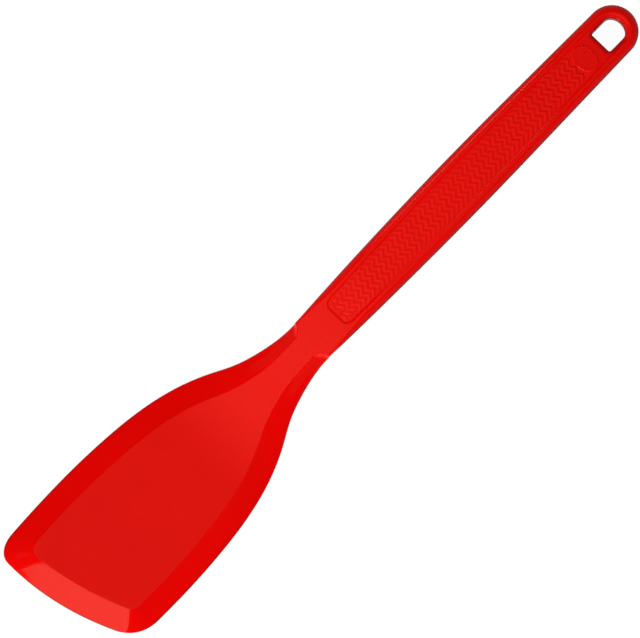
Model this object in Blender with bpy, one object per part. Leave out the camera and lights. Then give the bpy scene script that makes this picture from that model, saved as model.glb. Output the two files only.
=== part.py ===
"""Silicone turner: a red silicone body moulded round a nylon handle core and a spring-steel blade core.

Sizes are millimetres until a mesh is finished, which turns them into metres. Along the tool x starts at
the leading corner of the blade's front edge and grows towards the hanging hole. Each finished mesh is
moved so that the middle of the tool's length stands over the origin: +X points along the handle, +Z
up, and the blade's underside and the underside of the handle's tip rest on z = 0.
"""

import math

import bmesh
import bpy
import numpy as np
from mathutils import Vector

MM = 0.001

# Plan of the tool
LENGTH = 300.0
END_RADIUS = 9.55
END_CENTRE = LENGTH - END_RADIUS
HALF_WIDTHS = (  # (x, half the width of the tool)
    (8.0, 29.72), (20.0, 30.2), (32.0, 30.4), (43.0, 30.26), (54.0, 29.7), (75.5, 27.1), (90.0, 23.15),
    (101.0, 18.25), (108.0, 14.55), (115.5, 11.75), (122.5, 9.95), (128.0, 9.02), (133.5, 8.72), (144.0, 9.0),
    (163.0, 9.65), (184.0, 10.12), (213.0, 10.42), (246.0, 10.17), (278.0, 9.72), (END_CENTRE, END_RADIUS),
)
PANEL_HALF_WIDTHS = (  # (x, half the width of the flat raised panel between the bevels)
    (13.0, 21.1), (28.5, 21.6), (46.5, 21.2), (61.0, 20.1), (75.5, 18.0), (90.0, 13.7), (101.0, 8.85),
    (108.0, 6.7), (115.5, 5.15), (122.5, 4.65), (136.0, 4.7),
)

# Slanted front edges: x = a + b y + c y y between two values of y, and where the sides take over. Each
# corner, at -Y and at +Y, is a curve whose two handles are shares of the distance between its ends.
FRONT_EDGE = (2.456, -0.226, 0.0052)
FRONT_SPAN = (-21.2, 23.3)
SIDES_FROM = (23.5, 8.65)
FRONT_CORNERS = ((0.39, 0.39), (0.39, 0.39))
PANEL_EDGE = (12.25, -0.255, 0.0045)
PANEL_SPAN = (-19.5, 14.6)
PANEL_SIDES_FROM = (21.6, 14.0)
PANEL_CORNERS = ((0.0, 0.4), (0.55, 0.4))

# Side profile
BLADE_THICK, HANDLE_THICK = 3.2, 9.5
THICKEN_FROM, THICKEN_TO = 80.0, 168.0
BLADE_LIP, NECK_LIP = 1.0, 4.2
LIP_FROM, LIP_TO = 85.0, 135.0
LIP_ROUND, LIP_SHARE = 0.3, 0.2
HEEL, NECK = 78.0, 105.0
NECK_SLOPE = 0.1

# Where the bevels stop at the neck, in a hollow curve
STOP_FROM, STOP_TO = 131.0, 135.0
STOP_CURVE = 1.7

# Rounded edges of blade, neck and handle
TOP_ROUND_NECK, TOP_ROUND = 0.9, 2.8
TOP_ROUND_FROM, TOP_ROUND_TO = 136.0, 156.0
UNDER_ROUND_BLADE, UNDER_ROUND = 0.35, 3.2
UNDER_ROUND_FROM, UNDER_ROUND_TO = 95.0, 155.0
REST_TIP = LENGTH - UNDER_ROUND
TOP_TURNS = (0, 30, 55, 75, 90)
UNDER_TURNS = (0, 30, 60, 90)
BEVEL_STEPS = (1.0, 0.88, 0.5)

# Recessed grip with its herringbone ribs
GRIP_FROM = 147.0
GRIP_BORDER = 3.8
GRIP_DEPTH = 0.6
GRIP_CORNER = 2.3
RIB_FROM, RIB_TO = 151.6, 271.4
RIB_PITCH = 2.4
RIB_HEIGHT = 0.35
RIB_APEXES = (-3.5, 0.25, 4.0)
RIB_END, RIB_FOOT = 0.85, 0.45
GRIP_TURNS = (0, 30, 60, 90)
GRIP_END_TURNS = (0, 15, 30, 45, 60, 75)
LEVEL_ROWS = (276.3, 280.0, 285.0)

# Raised oval beside the hanging hole: (share of its size, height over the grip's floor) from foot to field
OVAL_AT = 276.3
OVAL_LONG, OVAL_WIDE = 8.0, 11.6
OVAL_SECTION = ((1.0, -0.8), (1.0, 0.2), (0.94, 0.35), (0.86, 0.35), (0.8, 0.2), (0.4, 0.2))
OVAL_SIDES = 40

# Hanging hole: flat towards the blade, rounded towards the tip
HOLE_FROM, HOLE_STRAIGHT_TO, HOLE_TO = 284.3, 291.2, 294.8
HOLE_HALF = 4.7
HOLE_CORNER = 0.8
HOLE_ROUND = 0.7
HOLE_TURNS = (0, 45, 90)

# Cores inside the silicone
FIT = 0.3
CORE_THICK = 4.4
CORE_DROP = 0.2
CORE_DROP_FROM, CORE_DROP_TO = 120.0, 150.0
CORE_FROM = 124.0
CORE_NOSE_HALF = 4.2
CORE_NOSE_TO, CORE_WIDE_FROM = 136.0, 149.0
CORE_INSET = 2.6
SLOTS_AT = (184.0, 206.0, 228.0, 250.0)
SLOT_LONG, SLOT_WIDE = 15.0, 6.0
PLATE_THICK = 0.8
PLATE_EDGE = (14.95, -0.255, 0.0045)
PLATE_SPAN = (-17.4, 15.4)
PLATE_SIDES_FROM = (24.5, 16.5)
PLATE_INSET = 1.8
TANG_HALF, TANG_TO = 2.9, 168.0
TANG_HOLES_AT = (136.0, 154.0)
TANG_HOLE_RADIUS = 1.3
PLATE_HOLES_AT = ((34.0, 11.0), (34.0, -11.0), (56.0, 11.0), (56.0, -11.0), (45.0, 0.0), (70.0, 0.0))
PLATE_HOLE_RADIUS = 3.0
HOLE_SIDES = 20

# Fineness of the meshes
COLUMNS = 8
TIP_STEP = 90 / COLUMNS
CORNER_STEPS, NEAR_STEPS = 6, 3
HOLE_CORNER_STEPS, HOLE_END_STEPS, SLOT_END_STEPS = 3, 14, 6
SMOOTH_UNDER = 12
SHARED_FROM = 32.0
ZONES = (  # (start, end, step) of the sections along the tool
    (SHARED_FROM, 72.0, 10.0), (72.0, 128.0, 4.0), (128.0, STOP_FROM, 1.5), (STOP_FROM, 134.9, 0.8),
    (134.9, 135.3, 0.4), (135.3, 150.0, 4.0), (150.0, END_CENTRE, 10.0),
)
CLOSE = 0.01
CUT_LOW, CUT_HIGH = -10.0, 40.0
WELD = 1e-7


def spline(points):
    """The natural cubic spline through (x, y) points, as a function of x."""
    x, y = (np.array(values, float) for values in zip(*points))
    h = np.diff(x)
    last = len(x) - 1
    system, right = np.eye(last + 1), np.zeros(last + 1)
    for i in range(1, last):
        system[i, i - 1 : i + 2] = h[i - 1], 2 * (h[i - 1] + h[i]), h[i]
        right[i] = 6 * ((y[i + 1] - y[i]) / h[i] - (y[i] - y[i - 1]) / h[i - 1])
    bend = np.linalg.solve(system, right)

    def at(where):
        i = int(np.clip(np.searchsorted(x, where) - 1, 0, last - 1))
        a, b = (x[i + 1] - where) / h[i], (where - x[i]) / h[i]
        curve = ((a**3 - a) * bend[i] + (b**3 - b) * bend[i + 1]) * h[i] ** 2 / 6
        return float(a * y[i] + b * y[i + 1] + curve)

    return at


half_width = spline(HALF_WIDTHS)
panel_half_width = spline(PANEL_HALF_WIDTHS)


def blend(x, start, end, low, high):
    """low before start, high after end, and a smooth step between."""
    u = min(1.0, max(0.0, (x - start) / (end - start)))
    return low + (high - low) * u * u * (3 - 2 * u)


def underside(x):
    """Height of the underside: flat blade, rising neck, arched handle back down to the table."""
    if x <= HEEL:
        return 0.0
    if x <= NECK:
        return NECK_SLOPE * (x - HEEL) ** 2 / (2 * (NECK - HEEL))
    rise = NECK_SLOPE * (NECK - HEEL) / 2
    reach = REST_TIP - NECK
    arch = (rise + NECK_SLOPE * reach) / reach**2
    return rise + NECK_SLOPE * (x - NECK) - arch * (x - NECK) ** 2


def thickness(x):
    return blend(x, THICKEN_FROM, THICKEN_TO, BLADE_THICK, HANDLE_THICK)


def topside(x):
    return underside(x) + thickness(x)


def core_middle(x):
    """Height of the middle of the cores, a little low where the grip is recessed above them."""
    return underside(x) + thickness(x) / 2 - blend(x, CORE_DROP_FROM, CORE_DROP_TO, 0.0, CORE_DROP)


def top_half_width(x):
    """Half the width of the top face: the panel, its flare where the bevels stop, then the handle."""
    if x > STOP_TO:
        return half_width(x) - blend(x, TOP_ROUND_FROM, TOP_ROUND_TO, TOP_ROUND_NECK, TOP_ROUND)
    flare = max(0.0, (x - STOP_FROM) / (STOP_TO - STOP_FROM)) ** STOP_CURVE
    panel = panel_half_width(x)
    return panel + (half_width(x) - TOP_ROUND_NECK - panel) * flare


def spaced(start, end, step):
    """Even steps of about the given length, without the end."""
    count = max(1, round(abs(end - start) / step))
    return [start + (end - start) * i / count for i in range(count)]


STATIONS = [x for zone in ZONES for x in spaced(*zone)] + [END_CENTRE]


def across(low, high, count):
    return [low + (high - low) * i / count for i in range(count + 1)]


def front_x(edge, y):
    return edge[0] + edge[1] * y + edge[2] * y * y


def front_corner(edge, y, side_x, width, handles):
    """Points on a Bezier curve from the end of a front edge to the start of a side."""
    side = math.copysign(1, y)
    slope = edge[1] + 2 * edge[2] * y
    side_slope = (width(side_x + 1) - width(side_x)) * side
    start, end = Vector((front_x(edge, y), y)), Vector((side_x, side * width(side_x)))
    reach = (end - start).length
    leave = start + Vector((slope * side, side)).normalized() * reach * handles[0]
    arrive = end - Vector((1.0, side_slope)).normalized() * reach * handles[1]
    points = []
    for t in across(0.0, 1.0, CORNER_STEPS + 1)[1:-1]:
        point = start * (1 - t) ** 3 + leave * 3 * t * (1 - t) ** 2
        points.append(tuple(point + arrive * 3 * t * t * (1 - t) + end * t**3))
    return points


def side_points(side, start, stop, width):
    """One side of a plan, from its start to its stop, with the stations that all pieces share."""
    near = across(start, SHARED_FROM, NEAR_STEPS)[:-1]
    shared = [x for x in STATIONS if near[-1] < x < stop - CLOSE]
    return [(x, side * width(x)) for x in near + shared]


def tip_points(radius, side):
    """The round tip from the quarter that looks sideways to the start of the tip's last row."""
    turns = [math.radians(turn) for turn in spaced(90.0, 45.0, TIP_STEP)]
    return [(END_CENTRE + radius * math.cos(t), side * radius * math.sin(t)) for t in turns]


def tip_row(radius):
    """The last row across the round tip, from -Y to +Y."""
    turns = [math.radians(turn) for turn in across(-45.0, 45.0, COLUMNS)]
    return [(END_CENTRE + radius * math.cos(t), radius * math.sin(t)) for t in turns]


def bladed_loop(edge, span, sides_from, width, corners, tip_radius=None, tip_at=None):
    """A closed plan with a slanted front edge, two corners, two sides and a round or square tip."""
    front = [(front_x(edge, y), y) for y in across(span[0], span[1], COLUMNS)]
    stop = END_CENTRE if tip_at is None else tip_at
    sides = []
    for side, y, start, handles in zip((-1, 1), span, sides_from, corners):
        points = front_corner(edge, y, start, width, handles) + side_points(side, start, stop, width)
        sides.append(points + (tip_points(tip_radius, side) if tip_radius else []))
    tip = tip_row(tip_radius) if tip_radius else [(stop, y) for y in across(-width(stop), width(stop), COLUMNS)]
    return front + sides[1] + tip[::-1] + sides[0][::-1]


def rows_of(loop, height):
    """The rows across a closed plan loop, each point raised to the height at its x."""
    count = len(loop)
    sides = (count - 2 * (COLUMNS + 1)) // 2
    rows = [loop[: COLUMNS + 1]]
    for j in range(1, sides + 1):
        right, left = loop[count - j], loop[COLUMNS + j]
        xs, ys = across(right[0], left[0], COLUMNS), across(right[1], left[1], COLUMNS)
        rows.append(list(zip(xs, ys)))
    rows.append(loop[COLUMNS + sides + 1 : 2 * COLUMNS + sides + 2][::-1])
    return [[(x, y, height(x)) for x, y in row] for row in rows]


def ring_section(x, width):
    """(distance in from the outline, height over the underside) of each ring, from top to bottom."""
    thick = thickness(x)
    if x > STOP_TO:
        turns = [math.radians(turn) for turn in TOP_TURNS]
        rings = [(width * (1 - math.sin(t)), thick - width * (1 - math.cos(t))) for t in turns]
    else:
        lip = blend(x, LIP_FROM, LIP_TO, BLADE_LIP, NECK_LIP)
        full = width if x < STOP_FROM else half_width(x) - panel_half_width(x)
        insets = [width * step for step in BEVEL_STEPS] + [min(LIP_ROUND, width * LIP_SHARE)]
        slope = (thick - lip) / (full - LIP_ROUND)
        rings = [(inset, lip + slope * (inset - LIP_ROUND)) for inset in insets] + [(0.0, lip - LIP_ROUND)]
        rings[0] = (width, thick)
    under = blend(x, UNDER_ROUND_FROM, UNDER_ROUND_TO, UNDER_ROUND_BLADE, UNDER_ROUND)
    turns = [math.radians(turn) for turn in UNDER_TURNS]
    return rings + [(under * (1 - math.cos(t)), under * (1 - math.sin(t))) for t in turns]


def add_grid(shape, rows):
    """Quads between neighbouring points of neighbouring rows."""
    made = [[shape.verts.new(point) for point in row] for row in rows]
    for low, high in zip(made, made[1:]):
        for i in range(len(low) - 1):
            shape.faces.new((low[i], low[i + 1], high[i + 1], high[i]))


def finish(name, shape, collection, material=None):
    """Welds a shape's patches into one closed mesh, moves it to the part's frame in metres, and keeps it."""
    bmesh.ops.remove_doubles(shape, verts=shape.verts, dist=WELD / MM)
    bmesh.ops.recalc_face_normals(shape, faces=shape.faces)
    for vertex in shape.verts:
        vertex.co = (vertex.co - Vector((LENGTH / 2, 0, 0))) * MM
    mesh = bpy.data.meshes.new(name)
    shape.to_mesh(mesh)
    shape.free()
    made = bpy.data.objects.new(name, mesh)
    collection.objects.link(made)
    if material is None:
        made.hide_render = True
        made.display_type = "WIRE"
    else:
        mesh.materials.append(material)
        mesh.shade_smooth()
        mesh.set_sharp_from_angle(angle=math.radians(SMOOTH_UNDER))
    return made


def cut(piece, cutter, operation="DIFFERENCE"):
    change = piece.modifiers.new(cutter.name, "BOOLEAN")
    change.operation = operation
    change.object = cutter
    change.solver = "EXACT"


def outer_form():
    """The body before anything is cut: rings from the top face's edge round to the underside."""
    outline = bladed_loop(FRONT_EDGE, FRONT_SPAN, SIDES_FROM, half_width, FRONT_CORNERS, END_RADIUS)
    top = bladed_loop(
        PANEL_EDGE, PANEL_SPAN, PANEL_SIDES_FROM, top_half_width, PANEL_CORNERS, END_RADIUS - TOP_ROUND
    )
    rings = [[] for _ in range(len(TOP_TURNS) + len(UNDER_TURNS))]
    for edge, inner in zip(outline, top):
        inward = Vector(inner) - Vector(edge)
        width = inward.length
        for ring, (inset, height) in zip(rings, ring_section(edge[0], width)):
            x, y = Vector(edge) + inward * (inset / width)
            ring.append((x, y, underside(x) + height))
    shape = bmesh.new()
    add_grid(shape, [ring + ring[:1] for ring in rings])
    add_grid(shape, rows_of([point[:2] for point in rings[0]], topside))
    add_grid(shape, rows_of([point[:2] for point in rings[-1]], underside))
    return shape


def flat_sheet(loop, middle, thick):
    """A sheet of even thickness over a plan loop, bent to follow the middle height."""
    shape = bmesh.new()
    top, bottom = (rows_of(loop, lambda x, half=half: middle(x) + half) for half in (thick / 2, -thick / 2))
    add_grid(shape, top)
    add_grid(shape, bottom)
    walls = [[(x, y, middle(x) + half) for x, y in loop + loop[:1]] for half in (thick / 2, -thick / 2)]
    add_grid(shape, walls)
    return shape


def grip_columns(x):
    """The grip recess's half width, and the y of each column of points across it."""
    wall = half_width(x) - GRIP_BORDER
    valleys = [(a + b) / 2 for a, b in zip(RIB_APEXES, RIB_APEXES[1:])]
    inner = sorted(RIB_APEXES + tuple(valleys))
    return [-wall, RIB_FOOT - wall, RIB_END - wall] + inner + [wall - RIB_END, wall - RIB_FOOT, wall]


def rib_row(apex_x, height):
    """A row of points along one rib's crest or one valley, bent at 45 degrees at each apex and valley."""
    columns = grip_columns(apex_x)
    row = []
    for i, y in enumerate(columns):
        rib = min(max(y, columns[2]), columns[-3])
        back = min(abs(rib - apex) for apex in RIB_APEXES)
        raised = height if 2 <= i <= len(columns) - 3 else 0.0
        row.append((apex_x - back, y, raised))
    return row


def flat_row(x, half):
    """A level row of the grip's floor, with as many points as a rib's row."""
    columns = grip_columns(x)
    return [(x, y * half / columns[-1], 0.0) for y in columns]


def grip_rows():
    """The grip's floor from its low end to its round end: corner, ribs, level floor, round end."""
    end_radius = END_RADIUS - GRIP_BORDER
    rows = []
    for turn in GRIP_TURNS:
        t = math.radians(turn)
        x = GRIP_FROM + GRIP_CORNER * (1 - math.cos(t))
        wall = half_width(x) - GRIP_BORDER
        rows.append(flat_row(x, wall - GRIP_CORNER * (1 - math.sin(t))))
    ribs = round((RIB_TO - RIB_FROM) / RIB_PITCH)
    for i in range(ribs + 1):
        crest = RIB_FROM + i * RIB_PITCH
        rows.append(rib_row(crest - RIB_PITCH / 2, 0.0))
        rows.append(rib_row(crest, RIB_HEIGHT))
    rows.append(rib_row(RIB_TO + RIB_PITCH / 2, 0.0))
    for x in LEVEL_ROWS:
        rows.append(flat_row(x, half_width(x) - GRIP_BORDER))
    for turn in GRIP_END_TURNS:
        t = math.radians(turn)
        rows.append(flat_row(END_CENTRE + end_radius * math.sin(t), end_radius * math.cos(t)))
    return rows


def border_of(rows):
    left, right = [row[-1] for row in rows[1:-1]], [row[0] for row in rows[1:-1]]
    return rows[0] + left + rows[-1][::-1] + right[::-1]


def grip_cutter(collection):
    """The solid whose ribbed lower face forms the grip's floor."""
    rows = [[(x, y, topside(x) - GRIP_DEPTH + raised) for x, y, raised in row] for row in grip_rows()]
    shape = bmesh.new()
    add_grid(shape, rows)
    border = border_of(rows)
    roof = [(x, y, CUT_HIGH) for x, y, _ in border]
    add_grid(shape, [border + border[:1], roof + roof[:1]])
    shape.faces.new([shape.verts.new(point) for point in roof])
    return finish("grip_cutter", shape, collection)


def outline_cutter(name, points, collection):
    """A cutter that runs straight through the tool, from a flat outline."""
    curve = bpy.data.curves.new(name, "CURVE")
    curve.dimensions = "2D"
    curve.fill_mode = "BOTH"
    curve.extrude = (CUT_HIGH - CUT_LOW) / 2
    line = curve.splines.new("POLY")
    line.points.add(len(points) - 1)
    for control, (x, y) in zip(line.points, points):
        control.co = (x, y, 0.0, 1.0)
    line.use_cyclic_u = True
    drawn = bpy.data.objects.new(name + "_outline", curve)
    collection.objects.link(drawn)
    solid = bpy.data.meshes.new_from_object(drawn.evaluated_get(bpy.context.evaluated_depsgraph_get()))
    shape = bmesh.new()
    shape.from_mesh(solid)
    bmesh.ops.translate(shape, verts=shape.verts, vec=(0, 0, (CUT_HIGH + CUT_LOW) / 2))
    bpy.data.objects.remove(drawn)
    bpy.data.meshes.remove(solid)
    return finish(name, shape, collection)


def hole_outline(grow):
    """Square towards the blade with small round corners, half an ellipse towards the tip."""
    half, radius = HOLE_HALF + grow, HOLE_CORNER + grow
    start, reach = HOLE_FROM - grow, HOLE_TO + grow - HOLE_STRAIGHT_TO
    points = []
    for turn in across(180.0, 270.0, HOLE_CORNER_STEPS):
        t = math.radians(turn)
        points.append((start + radius * (1 + math.cos(t)), radius * (1 + math.sin(t)) - half))
    for turn in across(-90.0, 90.0, HOLE_END_STEPS):
        t = math.radians(turn)
        points.append((HOLE_STRAIGHT_TO + reach * math.cos(t), half * math.sin(t)))
    for turn in across(90.0, 180.0, HOLE_CORNER_STEPS):
        t = math.radians(turn)
        points.append((start + radius * (1 + math.cos(t)), half - radius * (1 - math.sin(t))))
    return points


def hanging_hole(collection):
    """The hole's cutter, which opens out at both ends so that the rims come out round."""
    rings = []
    for from_top in (False, True):
        for turn in HOLE_TURNS if from_top else HOLE_TURNS[::-1]:
            t = math.radians(turn)
            grow, rise = HOLE_ROUND * (1 - math.cos(t)), HOLE_ROUND * math.sin(t)
            face, out = (topside, 1) if from_top else (underside, -1)
            sunk = GRIP_DEPTH if from_top else 0.0
            rings.append([(x, y, face(x) - sunk + out * (rise - HOLE_ROUND)) for x, y in hole_outline(grow)])
    ends = [[(x, y, height) for x, y in hole_outline(HOLE_ROUND)] for height in (CUT_LOW, CUT_HIGH)]
    rings = [ends[0]] + rings + [ends[1]]
    shape = bmesh.new()
    add_grid(shape, [ring + ring[:1] for ring in rings])
    for end in ends:
        shape.faces.new([shape.verts.new(point) for point in end])
    return finish("hanging_hole", shape, collection)


def slot_outline(x, grow):
    """A slot with round ends; grow makes it larger all round."""
    radius = SLOT_WIDE / 2 + grow
    reach = (SLOT_LONG - SLOT_WIDE) / 2
    points = []
    for end in (1, -1):
        for turn in across(-90.0, 90.0, SLOT_END_STEPS):
            t = math.radians(turn)
            points.append((x + end * (reach + radius * math.cos(t)), end * radius * math.sin(t)))
    return points


def round_cutter(name, x, y, radius, collection):
    shape = bmesh.new()
    bmesh.ops.create_cone(
        shape, cap_ends=True, segments=HOLE_SIDES, radius1=radius, radius2=radius, depth=CUT_HIGH - CUT_LOW
    )
    bmesh.ops.translate(shape, verts=shape.verts, vec=(x, y, (CUT_HIGH + CUT_LOW) / 2))
    return finish(name, shape, collection)


def blade_plate(name, grow, collection, cutters, material=None):
    """Spring-steel plate under the panel, with a tang through the neck; grow makes its pocket."""
    edge = (PLATE_EDGE[0] - grow, PLATE_EDGE[1], PLATE_EDGE[2])

    def width(x):
        return max(TANG_HALF, panel_half_width(min(x, STOP_TO)) - PLATE_INSET) + grow

    loop = bladed_loop(edge, PLATE_SPAN, PLATE_SIDES_FROM, width, FRONT_CORNERS, tip_at=TANG_TO + grow)
    shape = flat_sheet(loop, core_middle, PLATE_THICK + 2 * grow)
    plate = finish(name, shape, collection, material)
    for i, (x, y) in enumerate(PLATE_HOLES_AT):
        cut(plate, round_cutter(f"{name}_hole_{i}", x, y, PLATE_HOLE_RADIUS - grow, cutters))
    for i, x in enumerate(TANG_HOLES_AT):
        cut(plate, round_cutter(f"{name}_tang_hole_{i}", x, 0.0, TANG_HOLE_RADIUS - grow, cutters))
    return plate


def handle_bar(name, grow, collection, cutters, material=None):
    """Nylon bar from the neck to the hanging hole, with slots that the silicone fills."""

    def width(x):
        nose, wide = CORE_NOSE_HALF, half_width(x) - CORE_INSET
        return blend(x, CORE_NOSE_TO, CORE_WIDE_FROM, nose, wide) + grow

    start, radius = CORE_FROM - grow, END_RADIUS - CORE_INSET + grow
    front = [(start, y) for y in across(-width(start), width(start), COLUMNS)]
    sides = []
    for side in (1, -1):
        points = [(x, side * width(x)) for x in STATIONS if start < x < END_CENTRE - CLOSE]
        sides.append(points + tip_points(radius, side))
    loop = front + sides[0] + tip_row(radius)[::-1] + sides[1][::-1]
    shape = flat_sheet(loop, core_middle, CORE_THICK + 2 * grow)
    bar = finish(name, shape, collection, material)
    for i, x in enumerate(SLOTS_AT):
        cut(bar, outline_cutter(f"{name}_slot_{i}", slot_outline(x, -grow), cutters))
    return bar


def oval_field(collection):
    """The raised oval: a turned rim and field, drawn out across the handle."""
    shape = bmesh.new()
    rings = []
    for share, height in OVAL_SECTION:
        ring = []
        for turn in across(0.0, 360.0, OVAL_SIDES):
            t = math.radians(turn)
            x = OVAL_AT + OVAL_LONG / 2 * share * math.cos(t)
            ring.append((x, OVAL_WIDE / 2 * share * math.sin(t), topside(x) - GRIP_DEPTH + height))
        rings.append(ring)
    add_grid(shape, rings)
    for ring in (rings[0], rings[-1]):
        shape.faces.new([shape.verts.new(point) for point in ring[:-1]])
    return finish("oval_cutter", shape, collection)


def coloured(name, colour, roughness, metallic=0.0):
    made = bpy.data.materials.new(name)
    made.use_nodes = True
    made.diffuse_color = (*colour, 1.0)
    surface = made.node_tree.nodes["Principled BSDF"]
    surface.inputs["Base Color"].default_value = (*colour, 1.0)
    surface.inputs["Roughness"].default_value = roughness
    surface.inputs["Metallic"].default_value = metallic
    return made


def build():
    for old in list(bpy.data.objects):
        bpy.data.objects.remove(old)
    pieces = bpy.data.collections.new("silicone_turner")
    cutters = bpy.data.collections.new("cutters")
    for collection in (pieces, cutters):
        bpy.context.scene.collection.children.link(collection)

    silicone = coloured("red_silicone", (0.74, 0.008, 0.004), 0.42)
    nylon = coloured("red_nylon", (0.45, 0.006, 0.004), 0.5)
    steel = coloured("spring_steel", (0.56, 0.56, 0.55), 0.3, 1.0)

    hole = hanging_hole(cutters)
    plate_pocket = blade_plate("plate_pocket", FIT, cutters, cutters)
    blade_plate("blade_core", 0.0, pieces, cutters, steel)
    bar_pocket = handle_bar("bar_pocket", FIT, cutters, cutters)
    handle_core = handle_bar("handle_core", 0.0, pieces, cutters, nylon)
    cut(handle_core, plate_pocket)
    cut(handle_core, hole)

    body = finish("silicone_body", outer_form(), pieces, silicone)
    cut(body, grip_cutter(cutters))
    cut(body, oval_field(cutters), "UNION")
    cut(body, bar_pocket)
    cut(body, plate_pocket)
    cut(body, hole)


build()
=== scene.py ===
"""Looks of the silicone turner: one closed silicone skin with its bevels, rounded edges, ribbed grip,
oval field and hanging hole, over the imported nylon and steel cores, with their materials, camera and studio.

The skin is laid out in millimetres. Along the tool x starts at the leading corner of the front edge, and
the finished mesh is moved so that the middle of the tool's length stands over the origin.
"""

import math

import bmesh
import bpy
import numpy as np
from mathutils import Matrix, Vector


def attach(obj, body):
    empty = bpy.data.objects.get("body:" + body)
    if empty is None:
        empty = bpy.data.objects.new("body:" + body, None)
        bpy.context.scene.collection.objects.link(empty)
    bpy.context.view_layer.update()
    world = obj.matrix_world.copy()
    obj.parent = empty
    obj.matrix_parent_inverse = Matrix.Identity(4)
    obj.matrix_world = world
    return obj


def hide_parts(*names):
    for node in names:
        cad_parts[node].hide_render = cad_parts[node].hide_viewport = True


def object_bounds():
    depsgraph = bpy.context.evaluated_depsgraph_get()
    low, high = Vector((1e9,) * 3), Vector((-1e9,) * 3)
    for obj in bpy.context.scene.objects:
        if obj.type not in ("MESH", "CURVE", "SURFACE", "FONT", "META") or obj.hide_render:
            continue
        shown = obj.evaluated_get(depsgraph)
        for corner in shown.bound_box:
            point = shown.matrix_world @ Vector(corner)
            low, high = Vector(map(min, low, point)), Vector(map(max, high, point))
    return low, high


MM = 0.001

# Plan of the tool
LENGTH = 300.0
END_RADIUS = 9.55
END_CENTRE = LENGTH - END_RADIUS
HALF_WIDTHS = (  # (x, half the width of the tool)
    (8.0, 29.72), (20.0, 30.2), (32.0, 30.4), (43.0, 30.26), (54.0, 29.7), (75.5, 27.1), (90.0, 23.15),
    (101.0, 18.25), (108.0, 14.55), (115.5, 11.75), (122.5, 9.95), (128.0, 9.02), (133.5, 8.72), (144.0, 9.0),
    (163.0, 9.65), (184.0, 10.12), (213.0, 10.42), (246.0, 10.17), (278.0, 9.72), (END_CENTRE, END_RADIUS),
)
PANEL_HALF_WIDTHS = (  # (x, half the width of the flat raised panel between the bevels)
    (13.0, 21.1), (28.5, 21.6), (46.5, 21.2), (61.0, 20.1), (75.5, 18.0), (90.0, 13.7), (101.0, 8.85),
    (108.0, 6.7), (115.5, 5.15), (122.5, 4.65), (136.0, 4.7),
)

# Slanted front edges: x = a + b y + c y y between two values of y, then corner curves to the sides. Each
# corner, at -Y and at +Y, has two handles, which are shares of the distance between its ends. The bevels meet
# in a mitre at the -Y corner, and at the +Y one they turn round a cone.
FRONT_EDGE, FRONT_SPAN = (2.456, -0.226, 0.0052), (-21.2, 23.3)
SIDES_FROM, FRONT_CORNERS = (23.5, 8.65), ((0.39, 0.39), (0.39, 0.39))
PANEL_EDGE, PANEL_SPAN = (12.25, -0.255, 0.0045), (-19.5, 14.6)
PANEL_SIDES_FROM, PANEL_CORNERS = (21.6, 14.0), ((0.0, 0.39), (0.55, 0.4))
MITRE_AT, CONE_AT, PANEL_CONE_Y = (11.7, -24.3), (0.0, 20.7), 13.9
CURVE_STEPS, EDGE_STEPS = 60, 120

# Rise of the lip towards the +Y corner: its curve, the y where it starts and the x where it has faded out
CORNER_RISE, CORNER_RISE_FROM, CORNER_RISE_TO = 0.0013, 6.5, 4.5

# Side profile, and the dip across the neck's bevels
BLADE_THICK, HANDLE_THICK = 3.2, 9.5
THICKEN_FROM, THICKEN_TO = 80.0, 168.0
BLADE_LIP, NECK_LIP = 1.0, 4.2
LIP_FROM, LIP_TO = 85.0, 135.0
DIP, DIP_FROM, DIP_TO = 0.35, 104.0, 120.0
HEEL, NECK = 78.0, 105.0
NECK_SLOPE = 0.1
UNDER_ROUND_BLADE, UNDER_ROUND = 0.35, 3.2
UNDER_ROUND_FROM, UNDER_ROUND_TO = 95.0, 155.0
REST_TIP = LENGTH - UNDER_ROUND

# Edges of the top face, soft over the bevels and round along the handle, and of the lip
PANEL_SOFT = 0.28
TOP_ROUND_NECK, TOP_ROUND = 0.9, 2.8
TOP_ROUND_FROM, TOP_ROUND_TO = 136.0, 156.0
LIP_SOFT, NECK_SOFT = 0.3, 0.8

# Stops at the neck, where the bevels end in a wall: its curve, its foot's place across the bevel and rise,
# and the fillet there, against none on the bevels. The rise comes in over a length before the stops' end, and
# the fillet over a length to either side of their start.
STOP_FROM, STOP_TO = 131.0, 135.0
STOP_CURVE = 1.7
STOP_WALL, STOP_RISE, STOP_FILLET, NO_FILLET = 0.8, 0.8, 0.35, 0.1
RISE_OVER, FILLET_OVER = 2.0, 1.0

# Parting line along the handle: depth and softness of its groove, and the length over which it comes in
PARTING, PARTING_SOFT, PARTING_OVER = 0.03, 0.09, 4.0

# Sections: how far their ends run past the last corners, the least part of a side that its corner's arc may
# take, the gap between two arcs, and the steps of the arcs
SECTION_PAST, ROUND_SHARE, ROUND_GAP = 5.0, 0.45, 0.02
SECTION_STEPS = (7, 4, 2, 4, 6)

# Grip recess: its wall reaches over an edge and a fillet to either side of the border
GRIP_FROM, GRIP_BORDER, GRIP_DEPTH, GRIP_CORNER = 147.6, 3.8, 0.25, 2.6
GRIP_EDGE, GRIP_FILLET, EDGE_GAP = 0.8, 0.3, 0.12
FLOOR_INSET = GRIP_BORDER + GRIP_FILLET

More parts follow.
